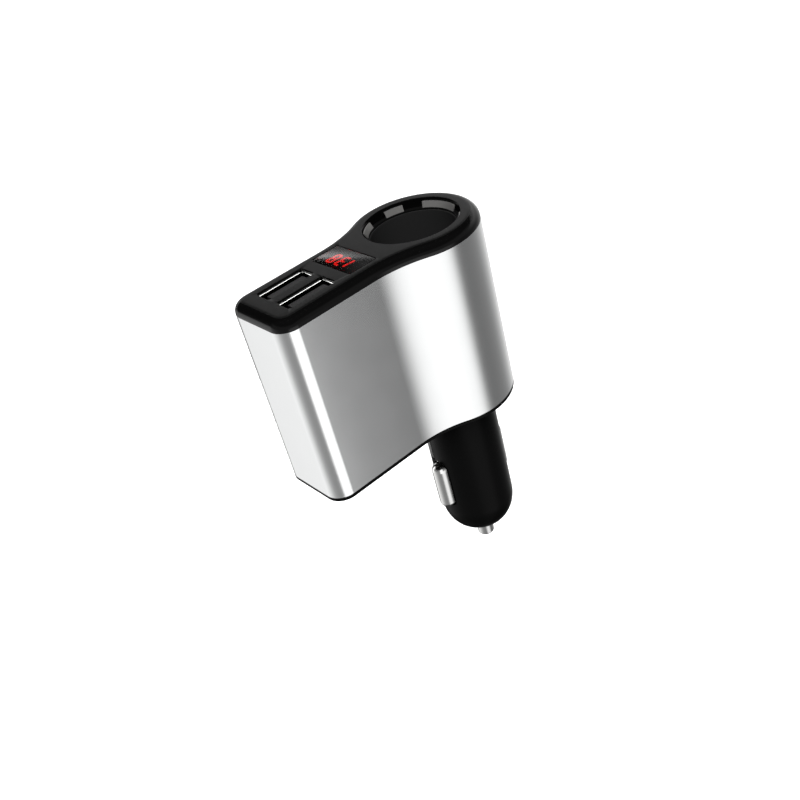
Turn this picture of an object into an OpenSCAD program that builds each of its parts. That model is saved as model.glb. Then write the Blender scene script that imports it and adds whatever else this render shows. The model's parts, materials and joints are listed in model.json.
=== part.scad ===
// Car charger plug with a lighter socket, two USB ports and a voltage display.
// The origin is on the plug's axis, level with the underside of the base cover.
// +Z points out of the socket, and the USB end points along -X.

/* [Body] */
// Width across the two flat flanks at the USB end
usb_w = 22.5; // [22:0.1:25]
// Distance from the ports to the flat end face
end_margin = 6.4; // [6:0.1:12]
// Radius of the two upright corners at the USB end
corner_r = 4.65; // [3.5:0.05:6]
// Radius of the hollow neck between flank and round end
neck_r = 28.4; // [24:0.2:34]
// Height of the metal sleeve
sleeve_h = 47.3; // [46:0.1:60]
// Wall of the metal sleeve
sleeve_wall = 1.2; // [0.9:0.05:1.4]
// Height of the top cover's rim, which is rounded over by the same radius
rim_r = 2.8; // [2.4:0.1:3.2]
// Thickness of the base cover's plate
base_t = 1; // [0.8:0.1:1.6]
// Wall of the spigots that centre the covers in the sleeve
spigot_t = 1.2; // [1:0.05:1.4]
// Depth of the top cover's spigot inside the sleeve
skirt_h = 4; // [3:0.5:5]
// Gap between parts that are pushed together
fit_gap = 0.1; // [0.05:0.05:0.2]

/* [Socket] */
// Radius of the socket's bore
bore_r = 10.75; // [10.5:0.05:10.9]
// Step from the bore out to the socket's mouth in the top cover
mouth_step = 1.45; // [1.3:0.05:1.8]
// Depth from the top face to the socket's floor
socket_depth = 39; // [36:0.5:41]
// Height of the moulded part of the bore, above the metal shell
upper_bore_h = 15; // [12:0.5:18]
// Wall of the moulded liner
liner_wall = 2.2; // [1.8:0.1:2.4]
// Width of the flange round the liner's upper end
flange_w = 1.1; // [0.9:0.05:1.6]
// Step from the moulded bore in to the metal shell
shell_step = 0.25; // [0.2:0.05:0.4]
// Thickness of the metal shell in the bore
shell_t = 0.5; // [0.4:0.05:0.6]
// Height of the lugs on the ring below the rim
lug_h = 1.45; // [1.2:0.05:1.8]
// Height of the lug ring's own band
lug_band_h = 0.5; // [0.4:0.05:0.8]
// Travel of the centre contact
contact_travel = 1.5; // [1:0.1:1.8]

/* [USB ports] */
// Long side of a port's opening
port_l = 12.5; // [12.3:0.1:12.9]
// Short side of a port's opening
port_w = 4.7; // [4.6:0.1:5.1]
// Distance between the middles of the two ports
port_pitch = 8.3; // [8:0.1:9]
// Depth of the shells below the top face
port_depth = 14; // [13:0.5:16]
// Sheet thickness of the shells
port_wall = 0.3; // [0.25:0.05:0.4]
// How far the shells stand back from the top face
shell_drop = 0.8; // [0.5:0.05:1.2]

/* [Display] */
// Length of the window along the body
window_l = 8.1; // [7.6:0.1:8.6]
// Width of the window across the body
window_w = 15; // [14.4:0.1:15.6]
// Thickness of the window
window_t = 1.2; // [1:0.1:1.6]
// Gap between the window and the ports
port_gap = 4; // [3.5:0.1:6]
// Gap between the window and the liner's flange
window_gap = 3.25; // [3:0.05:6]
// Height of one digit
digit_h = 4.6; // [4:0.1:5]
// Slant of the digits in degrees
digit_slant = 9; // [0:1:14]

/* [Plug] */
// Radius of the plug's barrel
barrel_r = 10.2; // [9.9:0.05:10.4]
// Wall of the barrel
barrel_wall = 2; // [1.6:0.1:2.2]
// Room above the fuse for the bend of the live wire, which sets the barrel's length
wire_room = 13.6; // [13.4:0.1:20]
// Rounding of the barrel's nose
nose_r = 9.7; // [8.5:0.1:9.8]
// Radius of the tip pin
pin_r = 2.4; // [2.1:0.05:2.6]
// Length of the tip pin outside the nose
pin_out = 5.4; // [4.6:0.1:6]
// Travel of the tip pin
pin_travel = 3; // [2:0.1:3.2]
// Height of a side contact's ear
ear_h = 14.3; // [13.5:0.1:16]
// Distance from the base cover down to the top of the ear
ear_drop = 18.1; // [17.4:0.1:19]
// Radius of the half-round ear
ear_r = 2.4; // [2.2:0.05:2.6]
// How far the ear stands out of the barrel
ear_out = 2.5; // [2.3:0.05:2.8]
// Sheet thickness of the side contacts
leaf_t = 0.45; // [0.4:0.05:0.5]
// Gap round the side contacts in the barrel's wall
slot_gap = 0.45; // [0.35:0.05:0.6]

/* [Electronics] */
// Thickness of the circuit boards
board_t = 1.6; // [1.2:0.1:1.6]
// Diameter of the fuse
fuse_d = 5.2; // [5:0.1:5.4]
// Length of the fuse
fuse_l = 20; // [19.5:0.5:21]
// Diameter of the wires over their insulation
wire_d = 1.6; // [1.3:0.1:1.8]
// Diameter of the round capacitors
cap_d = 6.3; // [5:0.1:6.5]
// Length of the round capacitors
cap_l = 11; // [9:0.5:12]
// Outer diameter of the ring coil's core
core_d = 12; // [10:0.5:13]

/* [Hidden] */
$fn = 72;
e = 0.01;
cut = 1;

// Layout along the body, from the socket to the end face
skirt_in = sleeve_wall + fit_gap;
pocket_in = skirt_in + spigot_t;
mouth_r = bore_r + mouth_step;
liner_r = bore_r + liner_wall;
flange_r = liner_r + flange_w;
end_r = flange_r + fit_gap + pocket_in;
window_x = -(flange_r + window_gap + window_l / 2);
port_x = window_x - window_l / 2 - port_gap - port_l / 2;
reach = end_margin + port_l / 2 - port_x;

// Outline of the body
flank_y = usb_w / 2;
neck_y = flank_y + neck_r;
neck_x = -sqrt(pow(end_r + neck_r, 2) - pow(neck_y, 2));
neck_angle = atan2(neck_y, -neck_x);

// Levels
rim_z = base_t + sleeve_h;
top_z = rim_z + rim_r;
plate_t = 1.9;
socket_z = top_z - socket_depth;
spigot_h = 3.5;

// Socket
flange_t = 2;
shell_in = bore_r - shell_step;
shell_out = shell_in + shell_t;
seat_z = base_t + 2;
floor_t = 2;
shell_top = rim_z - upper_bore_h;
lug_in = bore_r + 0.2;
lug_t = 0.3;
lug_step = 0.1;
lugs = [[9, 52], [72.5, 25], [126.5, 29], [189, 52], [252.5, 25], [306.5, 29]];
tab_w = 4;
contact_r = 3.2;
contact_stem = 1.5;
contact_head = 1.6;
contact_gap = contact_travel + 1.9;
wire_z = base_t + 5.5;
notch_half = tab_w / 2 + 1;
tab_low = wire_z + wire_d / 2 + 0.5;

// Screws and posts
post_r = 1.8;
screw_r = 0.95;
pilot_r = 1.0;
screw_l = 12;
head_r = 1.75;
head_t = 1.1;
boss_top = base_t + spigot_h;
post_angle = 78;
post_reach = neck_r + skirt_in + post_r;
posts = [[-(reach - skirt_in - post_r), 0],
    [neck_x + post_reach * cos(post_angle), neck_y - post_reach * sin(post_angle)],
    [neck_x + post_reach * cos(post_angle), -neck_y + post_reach * sin(post_angle)]];

// USB ports
port_board_z = top_z - port_depth - board_t;
tongue_l = port_l - 2.3;
tongue_t = 1.8;
tongue_top = top_z - 0.3;
tongue_shift = [-0.5, -1.35];
pin_pitch = 2.25;
sides = [-1, 1];

// Display
module_l = window_l - 0.9;
module_w = window_w - 0.9;
display_board_t = 1;
display_z = top_z - 8.6;
digits = [1, 3, 8];
digit_w = digit_h * 0.52;
digit_pitch = digit_h * 0.88;
stroke = digit_h * 0.13;
digit_z = top_z - window_t - 0.25;

// Plug
barrel_in = barrel_r - barrel_wall;
nose_wall = 2.4;
pin_gap = 0.05;
pin_round = 0.5;
pin_flange_t = 1.2;
spring_l = pin_travel + 5;
barrel_l = nose_wall + pin_flange_t + spring_l + 2 * pin_gap + fuse_l + wire_room;
nose_floor = -barrel_l + nose_wall;
flange_plug_r = liner_r - 0.3;
root_z = -5;
ear_top = -ear_drop;
ear_low = ear_top - ear_h;
ear_c = barrel_r + ear_out - ear_r;
ear_round = 1.3;
ear_dome = 2.1;
leaf_x = barrel_r - 0.55;
leaf_half = 1.6;
bead_r = 0.35;
arm_r = barrel_r - 0.05;
arm_from = 148;
arm_to = 167;
arm_low = ear_top + 0.5;
tube_in = fuse_d / 2 + 0.8;
tube_out = tube_in + 1;
pin_flange_r = tube_in - 0.15;
fuse_z = nose_floor + pin_flange_t + spring_l + 2 * pin_gap;
fuse_top = fuse_z + fuse_l;
ring_z = -2.4;
ring_t = 0.6;
ring_mid = (barrel_in + tube_out + 0.5) / 2;

// Main board
main_top = port_board_z - 0.05;
main_x0 = posts[0][0] + post_r + 1.2;
main_x1 = -(end_r - skirt_in) - 0.3;
main_z0 = base_t + 2;
main_half = board_t / 2;
rail_l = 3;
rail_x = [main_x0 + 3, main_x1 - rail_l - 2];
chip_pitch = 2.6;
chip_l = 1.3;

module slab(lo, hi) translate(lo) cube(hi - lo);

module tube(r_out, r_in, z0, z1) {
    difference() {
        translate([0, 0, z0]) cylinder(r = r_out, h = z1 - z0);
        translate([0, 0, z0 - cut]) cylinder(r = r_in, h = z1 - z0 + 2 * cut);
    }
}

module rounded(l, w, r) {
    union() {
        square([l - 2 * r, w], center = true);
        square([l, w - 2 * r], center = true);
        for (x = [-1, 1], y = [-1, 1]) translate([x * (l / 2 - r), y * (w / 2 - r)]) circle(r = r);
    }
}

// The body's outline, set in from the outer face by d. The round end is a sector that meets the
// rest along its two straight sides, which run through the points where round end and neck touch.
module outline(d) {
    half = flank_y - d;
    r = max(corner_r - d, 0.4);
    x0 = -(reach - d);
    far = 3;
    union() {
        difference() {
            circle(r = end_r - d);
            polygon([[0, 0], [far * neck_x, far * neck_y], [-far * reach, far * neck_y],
                [-far * reach, -far * neck_y], [far * neck_x, -far * neck_y]]);
        }
        difference() {
            polygon([[x0 + r, -half], [neck_x, -half], [neck_x, -neck_y], [0, 0],
                [neck_x, neck_y], [neck_x, half], [x0 + r, half]]);
            for (s = sides) translate([neck_x, s * neck_y]) circle(r = neck_r + d);
        }
        translate([x0, -half + r]) square([r + e, 2 * (half - r)]);
        for (s = sides) translate([x0 + r, s * (half - r)]) circle(r = r);
    }
}

module prism(d, z0, z1) translate([0, 0, z0]) linear_extrude(height = z1 - z0) outline(d);

function unit(v) = v / norm(v);

// Points along a smooth curve through the given ones, with n steps in each stretch
function smooth(p, n) = let (last = len(p) - 1) concat([for (i = [0:last - 1], k = [0:n - 1])
    let (a = p[max(i - 1, 0)], b = p[i], c = p[i + 1], d = p[min(i + 2, last)], t = k / n)
    (2 * b + (c - a) * t + (2 * a - 5 * b + 4 * c - d) * t * t + (3 * b - a - 3 * c + d) * t * t * t) / 2],
    [p[last]]);

// A wire of diameter d along a smooth curve through the points
module wire(points, d) {
    n = 8;
    path = smooth(points, 4);
    last = len(path) - 1;
    rings = [for (i = [0:last])
        let (t = unit(path[min(i + 1, last)] - path[max(i - 1, 0)]),
            u = unit(cross(t, [0.2, 1, 0.1])), v = cross(t, u))
        for (j = [0:n - 1]) path[i] + d / 2 * (u * cos(360 * j / n) + v * sin(360 * j / n))];
    skin = [for (i = [0:last - 1], j = [0:n - 1]) let (k = (j + 1) % n)
        [i * n + j, (i + 1) * n + j, (i + 1) * n + k, i * n + k]];
    polyhedron(points = rings, faces = concat(skin, [[for (j = [0:n - 1]) j]],
        [[for (j = [n - 1:-1:0]) last * n + j]]));
}

// A coil spring as one swept tube, from z0 up by h
module coil(r, wire_r, turns, z0, h, step = 20, sides_n = 6) {
    n = round(turns * step);
    ring = [for (i = [0:n], j = [0:sides_n - 1])
        let (a = 360 * i / step, b = 360 * j / sides_n, q = r + wire_r * cos(b))
        [q * cos(a), q * sin(a), z0 + wire_r + (h - 2 * wire_r) * i / n + wire_r * sin(b)]];
    skin = [for (i = [0:n - 1], j = [0:sides_n - 1])
        let (k = (j + 1) % sides_n)
        [i * sides_n + j, i * sides_n + k, (i + 1) * sides_n + k, (i + 1) * sides_n + j]];
    polyhedron(points = ring, faces = concat([for (f = skin) [f[3], f[2], f[1], f[0]]],
        [[for (j = [0:sides_n - 1]) j]], [[for (j = [sides_n - 1:-1:0]) n * sides_n + j]]));
}

function arc(at, r, from, to, n) = [for (i = [0:n]) at + r * [cos(from + (to - from) * i / n),
    sin(from + (to - from) * i / n)]];

// Half of the outline as points, from the socket's end to the USB end on the +y side, set in by d
function half_line(d) = let (end_angle = 180 - neck_angle, step = end_angle / 22.5) concat(
    arc([0, 0], end_r - d, step / 2, end_angle, 22),
    [for (i = [1:7]) arc([neck_x, neck_y], neck_r + d, -neck_angle, -90, 7)[i]],
    arc([corner_r - reach, flank_y - corner_r], corner_r - d, 90, 180, 8));

// Cap with a quarter-round edge that follows the whole outline. Its two flat sides are strips
// between mirrored points, so that each of their faces is convex.
module rounded_cap() {
    steps = 6;
    half = len(half_line(0));
    n = 2 * half;
    rings = [for (k = [0:steps], i = [0:n - 1]) let (a = 90 * k / steps, s = i < half ? 1 : -1,
        q = half_line(rim_r * (1 - cos(a)))[i < half ? i : n - 1 - i]) [q[0], s * q[1], rim_r * sin(a)]];
    skin = [for (k = [0:steps - 1], i = [0:n - 1]) let (j = (i + 1) % n)
        [k * n + i, (k + 1) * n + i, (k + 1) * n + j, k * n + j]];
    strips = [for (i = [0:half - 2]) [i, i + 1, n - 2 - i, n - 1 - i]];
    lid = [for (f = strips) [for (k = [3:-1:0]) steps * n + f[k]]];
    polyhedron(points = rings, faces = concat(skin, strips, lid));
}

module metal_sleeve() {
    color("silver") difference() {
        prism(0, base_t, rim_z);
        prism(sleeve_wall, base_t - cut, rim_z + cut);
    }
}

module top_cover() {
    cover_l = port_l + 2 * (port_wall + fit_gap);
    cover_w = port_w + 2 * (port_wall + fit_gap);
    color([0.12, 0.12, 0.13]) difference() {
        union() {
            translate([0, 0, rim_z]) rounded_cap();
            difference() {
                prism(skirt_in, rim_z - skirt_h, rim_z + e);
                prism(pocket_in, rim_z - skirt_h - cut, rim_z + cut);
                for (p = posts) translate([p[0], p[1], rim_z - skirt_h - cut])
                    cylinder(r = post_r + fit_gap, h = skirt_h + cut);
            }
        }
        difference() {
            prism(pocket_in, rim_z - e, top_z - plate_t);
            translate([0, 0, rim_z - cut]) cylinder(r = flange_r + spigot_t, h = rim_r);
            for (p = posts) translate([p[0], p[1], rim_z - cut]) cylinder(r = post_r, h = rim_r);
        }
        translate([0, 0, rim_z - cut]) cylinder(r = mouth_r, h = rim_r + 2 * cut);
        for (s = sides) translate([port_x, s * port_pitch / 2, rim_z - cut])
            linear_extrude(height = rim_r + 2 * cut) rounded(cover_l, cover_w, 0.7);
        translate([window_x, 0, top_z - window_t - fit_gap])
            linear_extrude(height = window_t + cut) rounded(window_l + fit_gap, window_w + fit_gap, 0.5);
        translate([window_x, 0, rim_z - cut])
            linear_extrude(height = rim_r + cut) rounded(module_l + 0.4, module_w + 0.4, 0.4);
    }
}

// Pillars between the two covers, with the pilot bores for the screws
module cover_posts() {
    color([0.12, 0.12, 0.13]) for (p = posts) translate([p[0], p[1], boss_top]) difference() {
        translate([0, 0, 0.02]) cylinder(r = post_r, h = rim_z - boss_top - 0.04);
        translate([0, 0, -cut]) cylinder(r = pilot_r, h = screw_l + cut);
    }
}

module base_cover() {
    rail_gap = board_t + 0.3;
    color([0.12, 0.12, 0.13]) difference() {
        union() {
            prism(0, 0, base_t);
            difference() {
                prism(skirt_in, base_t - e, base_t + spigot_h);
                prism(pocket_in, base_t - cut, base_t + spigot_h + cut);
            }
            tube(end_r - skirt_in, liner_r + fit_gap, base_t - e, base_t + spigot_h);
            for (p = posts) translate([p[0], p[1], 0]) cylinder(r = post_r, h = boss_top);
            for (x = rail_x) {
                slab([x, -rail_gap / 2 - 1.2, base_t / 2], [x + rail_l, rail_gap / 2 + 1.2, main_z0 + 2]);
            }
        }
        for (x = rail_x) {
            slab([x - cut, -rail_gap / 2, main_z0 - fit_gap], [x + rail_l + cut, rail_gap / 2, main_z0 + 3]);
        }
        translate([0, 0, -cut]) cylinder(r = barrel_r + fit_gap, h = base_t + 2 * cut);
        for (p = posts) translate([p[0], p[1], -cut]) {
            cylinder(r = screw_r + 0.15, h = boss_top + 2 * cut);
            cylinder(r = head_r + 0.15, h = cut + head_t + 0.15);
        }
    }
}

module socket_liner() {
    color([0.1, 0.1, 0.1]) difference() {
        union() {
            tube(liner_r, bore_r, seat_z + 0.05, rim_z - 0.05);
            tube(flange_r, bore_r, rim_z - 0.05 - flange_t, rim_z - 0.05);
        }
        translate([0, 0, seat_z - cut]) cylinder(r = shell_out + fit_gap / 2, h = shell_top - seat_z + cut);
        slab([-liner_r - cut, -notch_half, wire_z - 2.5], [-bore_r, notch_half, wire_z + 2.5]);
    }
}

// Ring in the mouth with lugs that lean outwards below the rim
module lug_ring() {
    z = rim_z;
    color("silver") {
        tube(mouth_r - fit_gap, lug_in, z, z + lug_band_h);
        foot = lug_in + lug_step;
        head = mouth_r - fit_gap - lug_t - 0.05;
        for (lug = lugs) rotate([0, 0, lug[0] - lug[1] / 2]) translate([0, 0, z + lug_band_h - e])
            rotate_extrude(angle = lug[1])
            polygon([[foot, 0], [foot + lug_t, 0], [head + lug_t, lug_h + e], [head, lug_h + e]]);
    }
}

// Metal lining of the bore, with a soldering tab on the side of the main board
module socket_shell() {
    outer = shell_out;
    color("silver") difference() {
        tube(outer, shell_in, tab_low, shell_top - 0.05);
        difference() {
            slab([-outer - cut, -outer - cut, tab_low - cut], [outer + cut, outer + cut, socket_z + fit_gap]);
            slab([-outer - 2 * cut, -tab_w / 2, tab_low - 2 * cut], [0, tab_w / 2, socket_z + cut]);
        }
    }
}

// Cup that carries the centre contact and stands on the barrel's flange
module socket_floor() {
    outer = shell_out;
    color([0.2, 0.18, 0.16]) difference() {
        translate([0, 0, seat_z + 0.05]) cylinder(r = outer, h = socket_z - seat_z - 0.05);
        translate([0, 0, seat_z - cut]) cylinder(r = outer - 1.4, h = socket_z - floor_t - seat_z + cut);
        translate([0, 0, seat_z]) cylinder(r = contact_stem + 0.05, h = socket_z);
        slab([-outer - cut, -notch_half, seat_z - cut], [-outer + 2, notch_half, socket_z + cut]);
    }
}

module centre_contact() {
    head_z = socket_z + contact_gap;
    color([0.8, 0.65, 0.35]) union() {
        translate([0, 0, head_z]) rotate_extrude() intersection() {
            translate([0, contact_head - contact_r * 1.4]) circle(r = contact_r * 1.4);
            square([contact_r, contact_head]);
        }
        translate([0, 0, socket_z - floor_t - 1]) cylinder(r = contact_stem, h = floor_t + 1 + contact_gap + e);
        translate([0, 0, socket_z - floor_t - 1.05]) cylinder(r = contact_stem + 1, h = 1);
    }
}

module centre_spring() {
    color("silver") coil(contact_stem + 0.75, 0.25, 2.5, socket_z + 0.02, contact_gap - 0.04);
}

module usb_shell() {
    outer_l = port_l + 2 * port_wall;
    outer_w = port_w + 2 * port_wall;
    z0 = port_board_z + board_t + 0.02;
    h = top_z - shell_drop - z0;
    notch = 0.75;
    color("silver") translate([port_x, 0, z0]) difference() {
        linear_extrude(height = h) rounded(outer_l, outer_w, 0.6);
        translate([0, 0, 1.2]) linear_extrude(height = h) rounded(port_l, port_w, 0.35);
        for (x = [-3.4, 3.4]) translate([x - 1.1, -outer_w, h - 7]) {
            difference() {
                cube([2.2, 2 * outer_w, 4.6]);
                translate([0.35, -cut, 0.35]) cube([1.5, 2 * outer_w + 2 * cut, 4.6]);
            }
        }
        for (x = sides, y = sides) translate([x * outer_l / 2 - notch, y * outer_w / 2 - notch, h - notch])
            cube(2 * notch);
    }
}

module usb_tongue(s) {
    z0 = port_board_z + board_t + 1.24;
    x = tongue_shift[0];
    y = s * port_pitch / 2 + tongue_shift[1];
    color([0.08, 0.08, 0.08]) translate([port_x, 0, 0]) difference() {
        union() {
            translate([0, s * port_pitch / 2, z0]) linear_extrude(height = 3)
                rounded(port_l - 0.1, port_w - 0.1, 0.35);
            slab([x - tongue_l / 2, y - tongue_t / 2, z0 + 3 - e], [x + tongue_l / 2, y + tongue_t / 2, tongue_top]);
        }
        for (i = [-1.5:1.5]) translate([x + i * pin_pitch - 0.6, y + tongue_t / 2 - 0.3, z0 - cut])
            cube([1.2, cut + 0.3, tongue_top - z0 - 0.6 + cut]);
    }
}

module usb_pins(s) {
    z0 = port_board_z + board_t + 1.24;
    y = s * port_pitch / 2 + tongue_shift[1] + tongue_t / 2;
    color([0.85, 0.7, 0.3]) for (i = [-1.5:1.5]) translate([port_x + tongue_shift[0] + i * pin_pitch - 0.5, 0, 0]) {
        slab([0, y - 0.25, z0], [1, y + 0.02, tongue_top - 0.9]);
        translate([0, y, tongue_top - 2.6]) rotate([90, 0, 90]) linear_extrude(height = 1)
            polygon([[-0.1, -0.8], [0.35, 0], [-0.1, 0.9]]);
    }
}

module display_window() {
    color([0.05, 0.05, 0.06, 0.6]) translate([window_x, 0, top_z - window_t])
        linear_extrude(height = window_t - 0.05) rounded(window_l - fit_gap, window_w - fit_gap, 0.45);
}

module display_module() {
    color([0.15, 0.15, 0.16]) translate([window_x, 0, display_z + display_board_t + 0.02])
        linear_extrude(height = digit_z - display_z - display_board_t - 0.02)
        rounded(module_l, module_w, 0.3);
}

// Strokes of one seven-stroke figure, upright along +y, with its middle at the origin
module figure(n) {
    lit = [[1, 1, 1, 1, 1, 1, 0], [0, 1, 1, 0, 0, 0, 0], [1, 1, 0, 1, 1, 0, 1], [1, 1, 1, 1, 0, 0, 1],
        [0, 1, 1, 0, 0, 1, 1], [1, 0, 1, 1, 0, 1, 1], [1, 0, 1, 1, 1, 1, 1], [1, 1, 1, 0, 0, 0, 0],
        [1, 1, 1, 1, 1, 1, 1], [1, 1, 1, 1, 0, 1, 1]][n];
    a = digit_w / 2 - stroke / 2;
    b = digit_h / 2 - stroke / 2;
    long = digit_h / 2 - stroke * 1.3;
    wide = digit_w - stroke * 1.4;
    spots = [[0, b, 0], [a, b / 2, 1], [a, -b / 2, 1], [0, -b, 0], [-a, -b / 2, 1], [-a, b / 2, 1], [0, 0, 0]];
    for (i = [0:6]) if (lit[i] == 1) translate([spots[i][0], spots[i][1]])
        square(spots[i][2] == 1 ? [stroke, long] : [wide, stroke], center = true);
}

// The figures read from the socket's side: their tops point at the USB end
module display_digits() {
    shear = tan(digit_slant);
    color("red") translate([window_x, 0, digit_z + 0.01]) rotate([0, 0, 90])
        multmatrix([[1, shear, 0, 0], [0, 1, 0, 0], [0, 0, 1, 0], [0, 0, 0, 1]]) {
        for (i = [0:2]) translate([(i - 1) * digit_pitch, 0, 0])
            linear_extrude(height = 0.15) figure(digits[i]);
    }
}

module display_board() {
    color([0.1, 0.35, 0.2]) slab([window_x - window_l / 2, -window_w / 2, display_z],
        [window_x + window_l / 2, window_w / 2, display_z + display_board_t]);
}

module display_pins() {
    z0 = port_board_z + board_t + 0.02;
    color([0.85, 0.7, 0.3]) for (i = [-2:2])
        slab([window_x - 0.32, i * 2.54 - 0.32, z0], [window_x + 0.32, i * 2.54 + 0.32, display_z - 0.02]);
    color([0.1, 0.1, 0.1]) slab([window_x - 1.25, -6.3, z0], [window_x + 1.25, 6.3, z0 + 2]);
}

module port_board() {
    half = flank_y - sleeve_wall - 1.6;
    color([0.1, 0.35, 0.2]) slab([main_x0, -half, port_board_z],
        [window_x + 2.4, half, port_board_z + board_t]);
}

module main_board() {
    color([0.1, 0.35, 0.2]) slab([main_x0, -main_half, main_z0], [main_x1, main_half, main_top]);
}

core_in = core_d * 0.26;
core_t = 4.4;
core_at = [main_x1 - core_d / 2 - 1.2, -main_half - core_t / 2 - 1.1, main_top - core_d / 2 - 1.5];

module ring_core() {
    color([0.25, 0.27, 0.25]) translate(core_at) rotate([90, 0, 0])
        tube(core_d / 2, core_in, -core_t / 2, core_t / 2);
}

module ring_winding() {
    turns = 14;
    lo = core_in - 0.05;
    hi = core_d / 2 + 0.05;
    color([0.75, 0.4, 0.2]) translate(core_at) rotate([90, 0, 0]) for (i = [0:turns - 1])
        rotate([0, 0, i * 360 / turns]) translate([(lo + hi) / 2, 0, 0]) rotate([90, 0, 0]) {
        linear_extrude(height = 0.8, center = true) difference() {
            rounded(hi - lo + 1.6, core_t + 1.7, 0.8);
            square([hi - lo, core_t + 0.1], center = true);
        }
    }
}

// Round capacitor lying against the board with its axis along x
module capacitor(x, z, l) {
    color([0.2, 0.2, 0.25]) translate([x, main_half + cap_d / 2 + 0.1, z]) rotate([0, 90, 0]) difference() {
        cylinder(d = cap_d, h = l);
        translate([0, 0, 1]) tube(cap_d, cap_d / 2 - 0.3, 0, 0.8);
        translate([0, 0, l - 0.3]) for (a = [0, 90]) rotate([0, 0, a])
            slab([-cap_d / 2 + 0.6, -0.15, 0], [cap_d / 2 - 0.6, 0.15, cut]);
    }
}

module input_capacitor() capacitor(main_x1 - cap_l - 2, main_z0 + 9, cap_l);
module output_capacitor() capacitor(main_x0 + 4, main_top - cap_d / 2 - 3, cap_l);

// Flat chip with bent legs on the board's -y face
module chip(x, z, l, w, t, legs, pitch) {
    translate([x, -main_half - 0.05, z]) rotate([90, 0, 0]) {
        translate([0, 0, 0.15]) linear_extrude(height = t) square([l, w], center = true);
        for (i = [0:legs - 1], s = sides) translate([(i - (legs - 1) / 2) * pitch - 0.2, 0, 0]) {
            slab([0, s > 0 ? w / 2 - 0.1 : -w / 2 - 1, 0], [0.4, s > 0 ? w / 2 + 1 : -w / 2 + 0.1, 0.3]);
        }
    }
}

module converter_chip() color([0.08, 0.08, 0.08]) chip(main_x0 + 8, main_top - 7, 5, 4, 1.5, 4, 1.27);
module power_diode() color([0.08, 0.08, 0.08]) chip(main_x0 + 8, main_z0 + 8, 4.4, 3.6, 2, 1, 1);

module chip_parts() {
    color([0.45, 0.38, 0.3]) for (i = [0:5])
        translate([main_x0 + 3 + i * chip_pitch, 0, main_z0 + 13])
            slab([0, -main_half - 0.75, 0], [chip_l, -main_half - 0.05, 2]);
}

// Front of the ear, with a dome at its upper end, grown by d
module ear_plan(half, d) {
    h = ear_h / 2 + d;
    top = ear_dome + d;
    low = ear_round + d;
    union() {
        translate([-half, low - h]) square([2 * half, 2 * h - low - top]);
        translate([low - half, -h]) square([2 * (half - low), h]);
        translate([top - half, 0]) square([2 * (half - top), h]);
        for (s = sides) {
            translate([s * (half - low), low - h]) circle(r = low);
            translate([s * (half - top), h - top]) circle(r = top);
        }
    }
}

// Ear of a side contact: half-round outside with straight legs inside, shrunk by d. The legs stand
// a hair inside the round, so that their faces cross its surface.
module ear(d) {
    r = ear_r - d;
    back = ear_c - leaf_x + leaf_t;
    hair = 0.03;
    translate([ear_c, 0, ear_low + ear_h / 2]) union() {
        rotate_extrude() intersection() {
            ear_plan(r, -d);
            translate([0, -ear_h]) square([r + e, 2 * ear_h]);
        }
        rotate([90, 0, -90]) linear_extrude(height = back + d)
            ear_plan(r - hair, -d - hair);
    }
}

// Side contact on the +x side. Its arm runs up beside the leaf, flush with the barrel, and the leaf
// rocks about the bead at its root.
module side_contact() {
    color("silver") union() {
        difference() {
            ear(0);
            ear(leaf_t);
            slab([0, -barrel_r, ear_low - cut], [leaf_x - leaf_t, barrel_r, ear_top + cut]);
        }
        slab([leaf_x - leaf_t, -leaf_half, ear_top - 2], [leaf_x, leaf_half, root_z]);
        translate([leaf_x - 0.25, 0, root_z - 0.2]) rotate([90, 0, 0])
            cylinder(r = bead_r, h = 2 * leaf_half - 0.1, center = true);
        difference() {
            tube(arm_r, arm_r - leaf_t, arm_low, root_z);
            rotate([0, 0, arm_to - 180]) slab([-2 * barrel_r, 0, arm_low - cut], [2 * barrel_r, 2 * barrel_r, 1]);
            rotate([0, 0, arm_from - 180]) slab([-2 * barrel_r, -2 * barrel_r, arm_low - cut], [2 * barrel_r, 0, 1]);
        }
        slab([leaf_x - leaf_t, -arm_r * sin(180 - arm_to) - 0.35, root_z - 3], [leaf_x, 0, root_z]);
    }
}

module side_contact_left() rotate([0, 0, 180]) side_contact();
module side_contact_right() mirror([0, 1, 0]) side_contact();

// Openings in the barrel's wall for the side contact on the +x side
module contact_slots() {
    half = ear_r + slot_gap;
    arm_y0 = -arm_r * sin(180 - arm_from) - slot_gap;
    arm_y1 = -arm_r * sin(180 - arm_to) + slot_gap;
    translate([0, 0, ear_low + ear_h / 2]) rotate([90, 0, 90])
        linear_extrude(height = 2 * barrel_r) ear_plan(half, slot_gap);
    slab([0, -leaf_half - 0.3, ear_top - 2], [leaf_x + 0.2, leaf_half + 0.3, ring_z + ring_t + fit_gap]);
    slab([0, arm_y0, arm_low - slot_gap], [2 * barrel_r, arm_y1, root_z + 0.3]);
    slab([0, arm_y1 - e, root_z - 3.3], [leaf_x + 0.15, 0, root_z + 0.3]);
}

module nose_profile(r, low, corner) {
    difference() {
        translate([0, low]) square([r, -low + seat_z + cut]);
        difference() {
            translate([r - corner, low - cut]) square([corner + cut, corner + cut]);
            translate([r - corner, low + corner]) circle(r = corner);
        }
    }
}

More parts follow.
